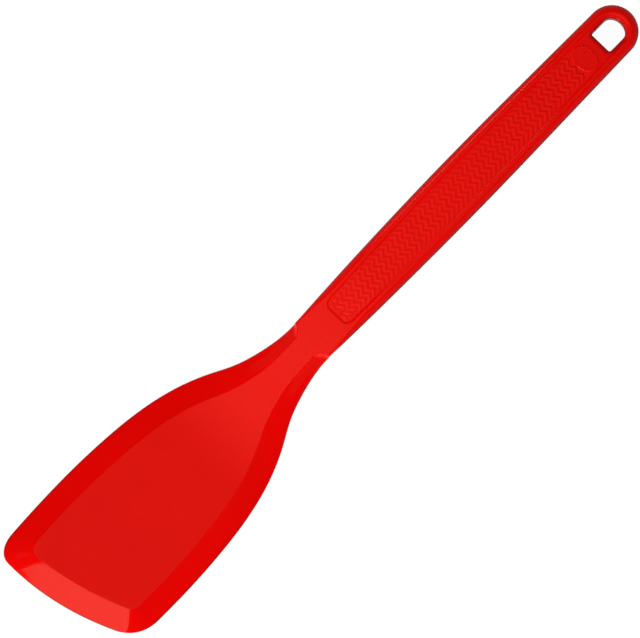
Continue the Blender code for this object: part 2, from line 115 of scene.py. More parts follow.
# Herringbone ribs: offsets along x from a crest, and the share of the full height there. The ribs grow
# between two values of x by a factor. Two more, which rise out of the floor, come before the first, and the
# far side of the last one is shorter. The zigzag's bends are rounded to either side of its apexes. At its
# ends a rib falls away: distance from the end, and the share of the height there.
RIB_FROM, RIB_COUNT, RIB_PITCH, RIB_HEIGHT = 154.0, 50, 2.4, 0.072
RIB_GAIN = (185.0, 275.0, 1.0, 1.5)
FIRST_RIBS = 2
RIB_APEXES = (-3.5, 0.25, 4.0)
RIB_SECTION = (
    (-1.2, 0.0), (-0.96, 0.07), (-0.74, 0.3), (-0.5, 0.68), (-0.26, 0.93), (0.0, 1.0),
    (0.26, 0.93), (0.5, 0.68), (0.74, 0.3), (0.96, 0.07),
)
RIB_BEND, BEND_STEPS = 0.3, 4
RIB_LEAN = 1.5  # how far behind its apexes a rib's ends lie, about
RIB_GAP = 0.1
RIB_ENDS = ((0.4, 1.0), (0.24, 0.84), (0.1, 0.4), (0.0, 0.0))
LAST_RIB_SHORT, LAST_RIB_FOOT = 0.62, 0.06

# Raised oval: share of its size and height over the floor, from its foot to its field
OVAL_AT, OVAL_LONG, OVAL_WIDE = 276.3, 7.8, 10.7
OVAL_ENDS = math.degrees(math.atan2(OVAL_LONG * 0.62, OVAL_WIDE * 0.38))  # half the turn of its short rows
OVAL_SECTION = (
    (1.04, 0.0), (1.01, 0.025), (0.98, 0.08), (0.95, 0.13), (0.92, 0.15), (0.89, 0.141), (0.86, 0.118),
    (0.83, 0.097), (0.8, 0.09), (0.6, 0.09),
)

# Hanging hole with rolled rims, and the band in its wall where the nylon shows. The band's edge goes from the
# wall to the band's floor: how far the hole grows, and how far past the band's half height.
HOLE_FROM, HOLE_STRAIGHT_TO, HOLE_TO = 284.3, 291.2, 294.8
HOLE_HALF, HOLE_CORNER, HOLE_ROUND, HOLE_ROLL, LOW_ROLL = 4.7, 0.8, 0.54, 2.25, 2.2
BAND_HALF, BAND_DEEP, BAND_SOFT, CORE_DROP = 2.24, 0.3, 0.12, 0.2
BAND_EDGE = ((0.0, BAND_SOFT), (BAND_SOFT / 3, BAND_SOFT / 3), (BAND_DEEP, 0.0))

# Fineness of the skin, and the stretches (from, to, spacing) of the stations along the blade and neck. The
# outline and the top face's edge share their stations from one x on. The rows across the blade and neck end
# at LADDER_END, and HOLE_ROW lies between the oval and the hole. Points nearer than WELD become one.
COLUMNS = 34
CORNER_STEPS, TIP_STEPS = 12, 12
SHARED_FROM, NEAR_STEPS = 32.0, 6
LADDER_END, HOLE_ROW = 145.2, 281.4
RECESS_STEPS, OVAL_STEPS, HOLE_STEPS = 20, 16, 10
ARC_STEPS, WALL_STEPS, RIM_STEPS, LOW_RIM_STEPS = 8, 7, 9, 6
STRETCHES = (
    (SHARED_FROM, 97.0, 3.25), (97.0, 129.5, 1.6), (129.5, STOP_FROM, 0.5), (STOP_FROM, STOP_TO, 0.25),
    (STOP_TO, 136.0, 0.25), (136.0, LADDER_END, 1.3),
)
WELD = 1e-4

# Colours, and the silicone's sheen and roughness, with how far that varies and what it is on upright walls
SILICONE_REDS = (0.625, 0.0008, 0.0002, 1.0), (0.65, 0.001, 0.0003, 1.0)
# The second red here is painted light: the thin bevels lighter, as light through thin silicone would show
# them.
FLECK_RED, BEVEL_PAINTED_LIGHT_RED = (0.61, 0.0007, 0.0002, 1.0), (0.675, 0.0009, 0.0002, 1.0)
# Painted shade: a dark red laid on upright walls, the rim of the blade's lip and beside the hanging hole.
PAINTED_SHADE_RED = (0.3, 0.001, 0.0005, 1.0)
NYLON_REDS = (0.40, 0.004, 0.002, 1.0), (0.52, 0.008, 0.005, 1.0)
STEEL_GREYS = (0.60, 0.60, 0.59, 1.0), (0.48, 0.48, 0.475, 1.0)
SHEEN = (1.0, 0.96, 0.72, 1.0)
ROUGH, ROUGH_VARIES, ROUGH_STEEP = 0.065, 0.012, 0.75

# Where the silicone's tones fade, in millimetres of the tool's frame: the blade along x; the painted light
# that makes its bevels lighter, by height; the painted shade on the rim of its lip, by height; the painted
# shade on upright walls, which starts at the neck, leaves its stops out and goes on along the handle; and the
# painted shade beside the hanging hole, by the distance from a line shifted to one side of its middle, and
# along x. A level is the upward share of a face's direction.
BLADE_ALONG, BEVEL_HEIGHTS = (-95.0, -50.0), (2.9, 3.16)
RIM_HEIGHTS, RIM_LEVEL, RIM_PAINTED_SHADE = (1.03, 1.2), (-0.6, -0.2), 0.8
STEEP_LEVEL, STEEP_ALONG = (0.3, 0.8), ((-75.0, -55.0), (-22.0, -20.0), (-14.0, -8.0))
EYE_SHIFT, EYE_SIDES, EYE_PAINTED_SHADE = 0.4, (4.9, 6.5), 0.9
EYE_FROM, EYE_TO = (132.4, 135.6), (140.0, 143.0)


def spline(points):
    """The natural cubic spline through (x, y) points, as a function of x."""
    x, y = (np.array(values, float) for values in zip(*points))
    h = np.diff(x)
    last = len(x) - 1
    system, right = np.eye(last + 1), np.zeros(last + 1)
    for i in range(1, last):
        system[i, i - 1 : i + 2] = h[i - 1], 2 * (h[i - 1] + h[i]), h[i]
        right[i] = 6 * ((y[i + 1] - y[i]) / h[i] - (y[i] - y[i - 1]) / h[i - 1])
    bend = np.linalg.solve(system, right)

    def at(where):
        i = int(np.clip(np.searchsorted(x, where) - 1, 0, last - 1))
        a, b = (x[i + 1] - where) / h[i], (where - x[i]) / h[i]
        curve = ((a**3 - a) * bend[i] + (b**3 - b) * bend[i + 1]) * h[i] ** 2 / 6
        return float(a * y[i] + b * y[i + 1] + curve)

    return at


half_width = spline(HALF_WIDTHS)
panel_half_width = spline(PANEL_HALF_WIDTHS)


def blend(x, start, end, low, high):
    """low before start, high after end, and a smooth step between."""
    u = min(1.0, max(0.0, (x - start) / (end - start)))
    return low + (high - low) * u * u * (3 - 2 * u)


def underside(x):
    """Height of the underside: flat blade, rising neck, arched handle back down to the table."""
    if x <= HEEL:
        return 0.0
    if x <= NECK:
        return NECK_SLOPE * (x - HEEL) ** 2 / (2 * (NECK - HEEL))
    rise = NECK_SLOPE * (NECK - HEEL) / 2
    reach = REST_TIP - NECK
    arch = (rise + NECK_SLOPE * reach) / reach**2
    return rise + NECK_SLOPE * (x - NECK) - arch * (x - NECK) ** 2


def thickness(x):
    """The tool's thickness, from the blade to the handle."""
    return blend(x, THICKEN_FROM, THICKEN_TO, BLADE_THICK, HANDLE_THICK)


def topside(x):
    return underside(x) + thickness(x)


def grip_floor(x):
    return topside(x) - GRIP_DEPTH


def wall_inset(x):
    """How far in from the outline the top face's edge stands: the bevel's width, then nothing."""
    if x >= STOP_TO:
        return 0.0
    flare = max(0.0, (x - STOP_FROM) / (STOP_TO - STOP_FROM)) ** STOP_CURVE
    return (half_width(x) - panel_half_width(x)) * (1 - flare)


def edge_round(x):
    """How far the rounding of the top edge reaches, which is its radius along the handle."""
    if x < STOP_TO:
        return blend(x, STOP_FROM, STOP_TO, PANEL_SOFT, TOP_ROUND_NECK)
    return blend(x, TOP_ROUND_FROM, TOP_ROUND_TO, TOP_ROUND_NECK, TOP_ROUND)


def spaced(start, end, step):
    """Even steps of about the given length, without the end."""
    count = max(1, round(abs(end - start) / step))
    return [start + (end - start) * i / count for i in range(count)]


def across(low, high, count):
    return [low + (high - low) * i / count for i in range(count + 1)]


def even(points, count):
    """count + 1 points evenly along a line through the given points."""
    points = np.array(points, float)
    along = np.concatenate([[0.0], np.cumsum(np.linalg.norm(np.diff(points, axis=0), axis=1))])
    where = np.linspace(0.0, along[-1], count + 1)
    made = np.stack([np.interp(where, along, values) for values in points.T], axis=1)
    made[0], made[-1] = points[0], points[-1]
    return [tuple(point) for point in made]


def arc(centre, radius, start, end, count):
    """Points on an arc between two angles in degrees, which may have two radii."""
    rx, ry = radius if isinstance(radius, tuple) else (radius, radius)
    turns = [math.radians(turn) for turn in across(start, end, count)]
    return [(centre[0] + rx * math.cos(t), centre[1] + ry * math.sin(t)) for t in turns]


def rounded(corners, soft, steps):
    """A section through its corners, each turned by an arc that reaches soft to either side of it."""
    made = []
    for i in range(1, len(corners) - 1):
        here = Vector(corners[i])
        back, ahead = Vector(corners[i - 1]) - here, Vector(corners[i + 1]) - here
        before = soft[i - 2] if i > 1 else 0.0
        after = soft[i] if i < len(soft) else 0.0
        sides = ((back.length, before), (ahead.length, after))
        room = [max(ROUND_SHARE * length, length - taken - ROUND_GAP) for length, taken in sides]
        reach = min(soft[i - 1], *room)
        first, last = here + back.normalized() * reach, here + ahead.normalized() * reach
        weight = math.sqrt(max(0.0, (1 - back.normalized().dot(ahead.normalized())) / 2))
        for t in across(0.0, 1.0, steps[i - 1]):
            share = (1 - t) ** 2 + 2 * weight * t * (1 - t) + t * t
            point = (first * (1 - t) ** 2 + here * (2 * weight * t * (1 - t)) + last * t * t) / share
            made.append(tuple(point))
    return made


def edge_x(edge, y):
    """x of a slanted front edge at y."""
    return edge[0] + edge[1] * y + edge[2] * y * y


def edge_slope(edge, y):
    return edge[1] + 2 * edge[2] * y


def facet_rise(x, y):
    """How much higher the lip stands near the two front corners, where the front facet runs on flat."""
    if y > FRONT_SPAN[0]:
        climb = CORNER_RISE * max(0.0, min(y, CONE_AT[1]) - CORNER_RISE_FROM) ** 2
        return climb * blend(x, CONE_AT[0], CORNER_RISE_TO, 1.0, 0.0)
    y_low, y_end = PANEL_SPAN[0], FRONT_SPAN[0]
    vertex, end = Vector((edge_x(PANEL_EDGE, y_low), y_low)), Vector((edge_x(FRONT_EDGE, y_end), y_end))
    ahead = Vector((-1.0, edge_slope(PANEL_EDGE, y_low))).normalized()
    full = (end - vertex).dot(ahead)
    point = Vector((x, y)) if x < MITRE_AT[0] else Vector(MITRE_AT)
    rise = (BLADE_THICK - BLADE_LIP) * (1 - (point - vertex).dot(ahead) / full)
    return max(0.0, rise) * blend(x, MITRE_AT[0], SIDES_FROM[0], 1.0, 0.0)


def section(x, width, raised=0.0):
    """The skin's section from the top face's edge to the underside: (distance in, height) in order."""
    thick, soft = thickness(x), edge_round(x)
    lip = blend(x, LIP_FROM, LIP_TO, BLADE_LIP, NECK_LIP) + raised
    under = blend(x, UNDER_ROUND_FROM, UNDER_ROUND_TO, UNDER_ROUND_BLADE, UNDER_ROUND)
    wall = width - soft
    bevel = half_width(x) - panel_half_width(x) if STOP_FROM < x < STOP_TO else wall
    rise = blend(x, STOP_TO - RISE_OVER, STOP_TO, 0.0, STOP_RISE)
    foot = wall * STOP_WALL
    foot_height = lip + (thick - lip) * foot / bevel if x < STOP_TO else lip
    dip = DIP * blend(x, DIP_FROM, DIP_TO, 0.0, 1.0) * blend(x, STOP_FROM, STOP_TO, 1.0, 0.0)
    groove = PARTING * blend(x, STOP_TO, STOP_TO + PARTING_OVER, 0.0, 1.0)
    middle = (foot / 2 + groove, (foot_height + rise + lip) / 2 - dip)
    corners = [
        (width + SECTION_PAST, thick), (wall, thick), (foot, foot_height + rise), middle,
        (0.0, lip), (0.0, 0.0), (under + SECTION_PAST, 0.0),
    ]
    fillet = blend(x, STOP_FROM - FILLET_OVER, STOP_FROM + FILLET_OVER, NO_FILLET, STOP_FILLET)
    lip_soft = blend(x, LIP_FROM, LIP_TO, LIP_SOFT, NECK_SOFT)
    return rounded(corners, (soft, fillet, PARTING_SOFT, lip_soft, under), SECTION_STEPS)


class Skin:
    """Patches of quads in millimetres, welded into one closed mesh."""

    def __init__(self):
        self.shape = bmesh.new()

    def points(self, line):
        return [self.shape.verts.new(point) for point in line]

    def grid(self, rows, crease=False):
        """Quads between neighbouring points of neighbouring rows; crease keeps the rows' ends sharp."""
        made = [self.points(row) for row in rows]
        for low, high in zip(made, made[1:]):
            for i in range(len(low) - 1):
                self.shape.faces.new((low[i], low[i + 1], high[i + 1], high[i]))
            if crease:
                for i in (0, -1):
                    self.shape.edges.get((low[i], high[i])).smooth = False

    def rings(self, rings, crease=False):
        self.grid([ring + ring[:1] for ring in rings], crease)

    def fan(self, coarse, fine, match):
        """Faces from a ring of few points to a ring of many, where match gives each point's partner."""
        few, many = self.points(coarse), self.points(fine)
        for i in range(len(few)):
            j = (i + 1) % len(few)
            first, last = match[i], match[j] if j else match[0] + len(many)
            inner = [many[k % len(many)] for k in range(last, first - 1, -1)]
            self.shape.faces.new([few[i], few[j]] + inner)


def closed(loop):
    """The points of a (low row, left side, high row, right side) loop in order."""
    low, left, high, right = loop
    return low + left + high[::-1] + right[::-1]


def ladder(loop):
    """Rows across a loop, from its low row over its sides to its high row."""
    low, left, high, right = loop
    return [low] + [even([a, b], COLUMNS) for a, b in zip(right, left)] + [high]


def lift(points, height):
    """The points at the height that a function of x gives."""
    return [(x, y, height(x)) for x, y, *_ in points]


def corner_curve(edge, y, side_x, width, handles):
    """A Bezier curve from the end of a front edge to the start of a side."""
    side = math.copysign(1, y)
    side_slope = (width(side_x + 1) - width(side_x)) * side
    start = Vector((edge_x(edge, y), y))
    end = Vector((side_x, side * width(side_x)))
    reach = (end - start).length
    leave = start + Vector((edge_slope(edge, y) * side, side)).normalized() * reach * handles[0]
    arrive = end - Vector((1.0, side_slope)).normalized() * reach * handles[1]
    points = []
    for t in across(0.0, 1.0, CURVE_STEPS):
        point = start * (1 - t) ** 3 + leave * 3 * t * (1 - t) ** 2
        points.append(tuple(point + arrive * 3 * t * t * (1 - t) + end * t**3))
    return points


def front_parts(edge, span, sides_from, width, corners, splits):
    """A plan's front row, and its two corners from the row's ends to the sides, from split to split."""
    line = [(edge_x(edge, y), y) for y in across(*span, EDGE_STEPS)]
    ends = zip(span, sides_from, corners)
    right, left = (corner_curve(edge, y, side_x, width, handles) for y, side_x, handles in ends)
    whole = np.array(right[::-1][:-1] + line + left[1:])
    cuts = [int(np.argmin(np.linalg.norm(whole - np.array(split), axis=1))) for split in splits]
    row = even(whole[cuts[0] : cuts[1] + 1], COLUMNS)
    right_side = even(whole[: cuts[0] + 1][::-1], CORNER_STEPS)[1:]
    return row, even(whole[cuts[1] :], CORNER_STEPS)[1:], right_side


def back_of(y):
    """How far behind a rib's apexes its line runs at y, with its corners slightly rounded."""
    offsets = across(-RIB_BEND, RIB_BEND, 2 * BEND_STEPS)
    return sum(min(abs(y + d - apex) for apex in RIB_APEXES) for d in offsets) / len(offsets)


def rib_reach(x):
    """How far sideways a rib reaches at full height."""
    return half_width(x) - FLOOR_INSET - RIB_GAP - RIB_ENDS[0][0]


def rib_lines():
    """(x of the apexes, share of the full height) of every row of points over the ribs."""
    lines = []
    for rib in range(RIB_COUNT):
        for offset, share in RIB_SECTION:
            if rib == RIB_COUNT - 1 and offset > 0:
                offset *= LAST_RIB_SHORT
            lines.append((RIB_FROM + rib * RIB_PITCH + offset, share))
    last = RIB_SECTION[-1][0] * LAST_RIB_SHORT + LAST_RIB_FOOT
    return lines + [(RIB_FROM + (RIB_COUNT - 1) * RIB_PITCH + last, 0.0)]


RIB_LINES = rib_lines()
RIB_BASES = list(range(0, len(RIB_LINES), len(RIB_SECTION)))


def rib_sides(side):
    """x of each row of the ribs where it meets the floor's edge on one side."""
    return [apex - back_of(side * rib_reach(apex - RIB_LEAN)) for apex, _ in RIB_LINES]


def side_stations(side, start):
    """Stations along one side, x up to the round end and then on along its arc, and the counts of their
    parts: blade and neck, corner of the recess, bases of the ribs, beside the oval, and beside the hole."""
    ribs = rib_sides(side)
    blade = across(start, SHARED_FROM, NEAR_STEPS)[1:-1]
    blade += [x for stretch in STRETCHES for x in spaced(*stretch)] + [LADDER_END]
    corner = across(LADDER_END, GRIP_FROM + GRIP_CORNER, RECESS_STEPS)[1:]
    bases = [ribs[i] for i in RIB_BASES]
    oval = across(bases[-1], HOLE_ROW, OVAL_STEPS)[1:]
    hole = across(HOLE_ROW, END_CENTRE, HOLE_STEPS)[1:]
    hole += [END_CENTRE + END_RADIUS * math.radians(turn) for turn in across(0.0, 45.0, TIP_STEPS)[1:-1]]
    parts = (blade, corner, bases, oval, hole)
    return [x for part in parts for x in part], [len(part) for part in parts]


def edge_point(station, side, inset):
    """A point on one side, at a distance in from the outline."""
    if station <= END_CENTRE:
        return (station, side * (half_width(station) - inset))
    turn, radius = (station - END_CENTRE) / END_RADIUS, END_RADIUS - inset
    return (END_CENTRE + radius * math.sin(turn), side * radius * math.cos(turn))


def end_row(inset):
    """The last row across the round end."""
    return arc((END_CENTRE, 0.0), END_RADIUS - inset, -45.0, 45.0, COLUMNS)


def outer_loops():
    """Plan loops of the outline and of the top face's edge, with the same counts."""

    def top_width(x):
        return half_width(x) - wall_inset(x) - edge_round(x)

    edge = (PANEL_EDGE[0] + PANEL_SOFT, *PANEL_EDGE[1:])
    vertex, cone = ((edge_x(edge, y), y) for y in (PANEL_SPAN[0], PANEL_CONE_Y))
    outline = front_parts(FRONT_EDGE, FRONT_SPAN, SIDES_FROM, half_width, FRONT_CORNERS, (MITRE_AT, CONE_AT))
    top = front_parts(edge, PANEL_SPAN, PANEL_SIDES_FROM, top_width, PANEL_CORNERS, (vertex, cone))
    loops = []
    plans = ((outline, half_width, SIDES_FROM), (top, top_width, PANEL_SIDES_FROM))
    for (row, left, right), width, (right_from, left_from) in plans:
        sides = []
        ways = ((1, left, SIDES_FROM[1], left_from), (-1, right, SIDES_FROM[0], right_from))
        for side, corner, start, own in ways:
            stations = side_stations(side, start)[0]
            stretch = (SHARED_FROM - own) / (SHARED_FROM - start)
            near = [own + (x - start) * stretch for x in stations[:NEAR_STEPS]]
            points = [(x, side * width(x)) for x in near]
            points += [edge_point(x, side, half_width(x) - width(x)) for x in stations[NEAR_STEPS:]]
            sides.append(corner + points)
        loops.append((row, sides[0], end_row(half_width(END_CENTRE) - width(END_CENTRE)), sides[1]))
    return loops


def skin_rings(outline, top):
    """Rings of the skin from the top face's edge round to the underside."""
    rings = []
    for edge, inner in zip(closed(outline), closed(top)):
        inward = Vector(inner) - Vector(edge)
        width = inward.length
        line = []
        for inset, height in section(edge[0], width, facet_rise(*edge)):
            x, y = Vector(edge) + inward * (inset / width)
            line.append((x, y, underside(x) + height))
        rings.append(line)
    return [list(ring) for ring in zip(*rings)]


def as_loop(ring, sides):
    """A closed ring split again into its low row, left side, high row and right side."""
    left = COLUMNS + 1
    high = left + sides
    right = high + COLUMNS + 1
    return ring[:left], ring[left:high], ring[high:right][::-1], ring[right:][::-1]


def recess_loop(inset, drop, dense):
    """The grip recess's outline at a distance in from the tool's outline, drop under the top face. A dense
    one has a point at every row of the ribs, and a coarse one only at their bases."""
    corner_x = GRIP_FROM + GRIP_CORNER
    corner_y = half_width(corner_x) - GRIP_BORDER - GRIP_CORNER
    radius = GRIP_CORNER + GRIP_BORDER - inset
    low = arc((corner_x, -corner_y), radius, 225.0, 180.0, ARC_STEPS)
    low += arc((corner_x, corner_y), radius, 180.0, 135.0, ARC_STEPS)
    sides = []
    for side in (1, -1):
        corner = arc((corner_x, corner_y), radius, 135.0, 90.0, RECESS_STEPS)[1:]
        stations, counts = side_stations(side, SIDES_FROM[0])
        ribs = rib_sides(side) if dense else [rib_sides(side)[i] for i in RIB_BASES]
        rest = stations[sum(counts[:3]) :]
        sides.append([(x, side * y) for x, y in corner] + [edge_point(s, side, inset) for s in ribs + rest])
    loop = (even(low, COLUMNS), sides[0], end_row(inset), sides[1])
    return tuple([(x, y, topside(x) - drop) for x, y in part] for part in loop)


def partners():
    """For each point of a coarse recess ring, its place in the dense ring. On the right side it is the place
    one further on, so a flat strip as narrow as EDGE_GAP has slanted faces there."""
    counts = side_stations(1, SIDES_FROM[0])[1]
    rest = counts[3] + counts[4]
    places = list(range(RECESS_STEPS)) + [RECESS_STEPS + i for i in RIB_BASES]
    places += [RECESS_STEPS + len(RIB_LINES) + i for i in range(rest)]
    many = RECESS_STEPS + len(RIB_LINES) + rest
    low = list(range(COLUMNS + 1))
    left = [COLUMNS + 1 + place for place in places]
    high = [COLUMNS + 1 + many + i for i in range(COLUMNS + 1)]
    right = [2 * (COLUMNS + 1 + many) - place for place in places[::-1]]
    return low + left + high + right


def rib_row(apex, share, right, left):
    """One row of points over the ribs between two points of the floor's edge."""
    reach = rib_reach(apex - RIB_LEAN)
    valleys = [(a + b) / 2 for a, b in zip(RIB_APEXES, RIB_APEXES[1:])]
    ends = [(reach + RIB_ENDS[0][0] - d, height) for d, height in RIB_ENDS]
    columns = [(-y, height) for y, height in ends[::-1]]
    for bend in sorted(RIB_APEXES + tuple(valleys)):
        columns += [(bend + d, 1.0) for d in across(-RIB_BEND, RIB_BEND, BEND_STEPS)]
    row = [right]
    for y, height in columns + ends:
        x = apex - back_of(max(-reach, min(reach, y)))
        row.append((x, y, grip_floor(x) + RIB_HEIGHT * blend(x, *RIB_GAIN) * share * height))
    return row + [left]


def floor_rows(floor):
    """Rows of the grip's floor from its low end over all the ribs."""
    low, left, _, right = floor
    ribs = []
    for i, (apex, share) in enumerate(RIB_LINES):
        ribs.append(rib_row(apex, share, right[RECESS_STEPS + i], left[RECESS_STEPS + i]))
    rows = [low]
    ends = [height for _, height in RIB_ENDS[::-1]]
    fade = ends + [1.0] * (len(low) - 2 - 2 * len(ends)) + ends[::-1]
    for j in range(RECESS_STEPS):
        share = (j + 1) / (RECESS_STEPS + 1)
        crest = RIB_HEIGHT * math.sin(math.pi * FIRST_RIBS * share) ** 2
        inner = []
        for start, end, height in zip(low[1:-1], ribs[0][1:-1], fade):
            x, y, z = (a + (b - a) * share for a, b in zip(start, end))
            inner.append((x, y, z + crest * height))
        rows.append([right[j]] + inner + [left[j]])
    return rows + ribs


def oval_loop(share, height, sides):
    """The raised oval's outline at a share of its size, at a height over the floor."""
    centre, radius = (OVAL_AT, 0.0), (OVAL_LONG / 2 * share, OVAL_WIDE / 2 * share)
    parts = (
        arc(centre, radius, 180.0 + OVAL_ENDS, 180.0 - OVAL_ENDS, COLUMNS),
        arc(centre, radius, 180.0 - OVAL_ENDS, OVAL_ENDS, sides + 1)[1:-1],
        arc(centre, radius, -OVAL_ENDS, OVAL_ENDS, COLUMNS),
        arc(centre, radius, 180.0 + OVAL_ENDS, 360.0 - OVAL_ENDS, sides + 1)[1:-1],
    )
    return tuple(lift(part, lambda x: grip_floor(x) + height) for part in parts)


def hole_loop(grow, height, sides, low_roll=0.0):
    """The hanging hole's outline, grown by a distance, at height(x); low_roll grows its low side more."""
    radius, half = HOLE_CORNER + grow, HOLE_HALF + grow
    corner_x, corner_y = HOLE_FROM + HOLE_CORNER, HOLE_HALF - HOLE_CORNER
    reach = (HOLE_TO + grow - HOLE_STRAIGHT_TO, half)
    centre = (HOLE_STRAIGHT_TO, 0.0)
    flat = radius + low_roll * grow
    low = arc((corner_x, -corner_y), (flat, radius), 225.0, 180.0, ARC_STEPS)
    low += arc((corner_x, corner_y), (flat, radius), 180.0, 135.0, ARC_STEPS)
    left = arc((corner_x, corner_y), (flat, radius), 135.0, 90.0, ARC_STEPS)
    left += arc(centre, reach, 90.0, 45.0, 2 * ARC_STEPS)
    high = arc(centre, reach, -45.0, 45.0, COLUMNS)
    left = even(left, sides + 1)[1:-1]
    right = [(x, -y) for x, y in left]
    return tuple(lift(part, height) for part in (even(low, COLUMNS), left, high, right))


def hole_rings(sides):
    """The rolled upper rim, the wall with its band, and the rolled lower rim."""
    rings = []
    for turn in across(0.0, 90.0, RIM_STEPS):
        t = math.radians(turn)
        grow, drop = HOLE_ROUND * (1 - math.sin(t)), HOLE_ROLL * (1 - math.cos(t))
        rings.append(hole_loop(grow, lambda x: grip_floor(x) - drop, sides, LOW_ROLL))
    for sign in (1, -1):
        for grow, past in BAND_EDGE[::sign]:
            up = sign * (BAND_HALF + past) - CORE_DROP
            rings.append(hole_loop(grow, lambda x: underside(x) + thickness(x) / 2 + up, sides))
    for turn in across(90.0, 0.0, LOW_RIM_STEPS):
        t = math.radians(turn)
        grow, rise = HOLE_ROUND * (1 - math.sin(t)), HOLE_ROUND * (1 - math.cos(t))
        rings.append(hole_loop(grow, lambda x: underside(x) + rise, sides))
    return rings


def part_of(loop, start, low, stop=None, high=None):
    """The part of a loop that starts after one row and ends at another."""
    return (low, loop[1][start:stop], high or loop[2], loop[3][start:stop])


def silicone_skin():
    """The whole skin, patch by patch."""
    skin = Skin()
    outline, top = outer_loops()
    counts = side_stations(1, SIDES_FROM[1])[1]
    sides = len(outline[1])
    rings = skin_rings(outline, top)
    skin.rings(rings, crease=True)  # they start and end at the mitre, which stays sharp

    # Top face: blade and neck, the border round the grip, and the recess's edge and wall
    edge = as_loop(rings[0], sides)
    first = CORNER_STEPS + counts[0]
    row = even([edge[3][first - 1], edge[1][first - 1]], COLUMNS)
    rows = ladder(part_of(edge, 0, edge[0], first - 1, row))
    skin.grid([lift(row, topside) for row in rows])
    border = part_of(edge, first, rows[-1])
    flat = recess_loop(GRIP_BORDER - GRIP_EDGE - EDGE_GAP, 0.0, False)
    skin.rings([closed(border), closed(flat)])
    walls = []
    for share in across(0.0, 1.0, WALL_STEPS):
        inset = GRIP_BORDER - GRIP_EDGE + (GRIP_EDGE + GRIP_FILLET) * share
        walls.append(recess_loop(inset, blend(share, 0.0, 1.0, 0.0, GRIP_DEPTH), True))
    skin.fan(closed(flat), closed(walls[0]), partners())
    skin.rings([closed(wall) for wall in walls])

    # The recess's floor: ribs, the oval, and round the hanging hole
    floor = walls[-1]
    ribs = floor_rows(floor)
    skin.grid(ribs)
    start = RECESS_STEPS + len(RIB_LINES)
    oval_sides = counts[3] - 1
    row = lift(even([floor[3][start + oval_sides], floor[1][start + oval_sides]], COLUMNS), grip_floor)
    around = part_of(floor, start, ribs[-1], start + oval_sides, row)
    ovals = [oval_loop(share, height, oval_sides) for share, height in OVAL_SECTION]
    skin.rings([closed(around)] + [closed(oval) for oval in ovals])
    skin.grid([lift(line, lambda x: grip_floor(x) + OVAL_SECTION[-1][1]) for line in ladder(ovals[-1])])
    around = part_of(floor, start + oval_sides + 1, row)
    hole_sides = len(around[1])
    holes = hole_rings(hole_sides)
    skin.rings([closed(around)] + [closed(hole) for hole in holes])

    # Underside
    under = as_loop(rings[-1], sides)
    last = sides - hole_sides - 1
    row = even([under[3][last], under[1][last]], COLUMNS)
    rows = [lift(line, underside) for line in ladder(part_of(under, 0, under[0], last, row))]
    skin.grid(rows)
    skin.rings([closed(part_of(under, last + 1, rows[-1])), closed(holes[-1])])
    return skin


def finished(skin, name, material, box):
    """Welds the skin, moves it to the tool's frame in metres, keeps it in the box and makes it an object."""
    shape = skin.shape
    bmesh.ops.remove_doubles(shape, verts=shape.verts, dist=WELD)
    bmesh.ops.recalc_face_normals(shape, faces=shape.faces)
    for vertex in shape.verts:
        vertex.co = (vertex.co - Vector((LENGTH / 2, 0, 0))) * MM
        vertex.co = [min(high, max(low, value)) for low, value, high in zip(box[0], vertex.co, box[1])]
    mesh = bpy.data.meshes.new(name)
    shape.to_mesh(mesh)
    shape.free()
    for polygon in mesh.polygons:
        polygon.use_smooth = True
    mesh.materials.append(material)
    made = bpy.data.objects.new(name, mesh)
    bpy.context.scene.collection.objects.link(made)
    return made


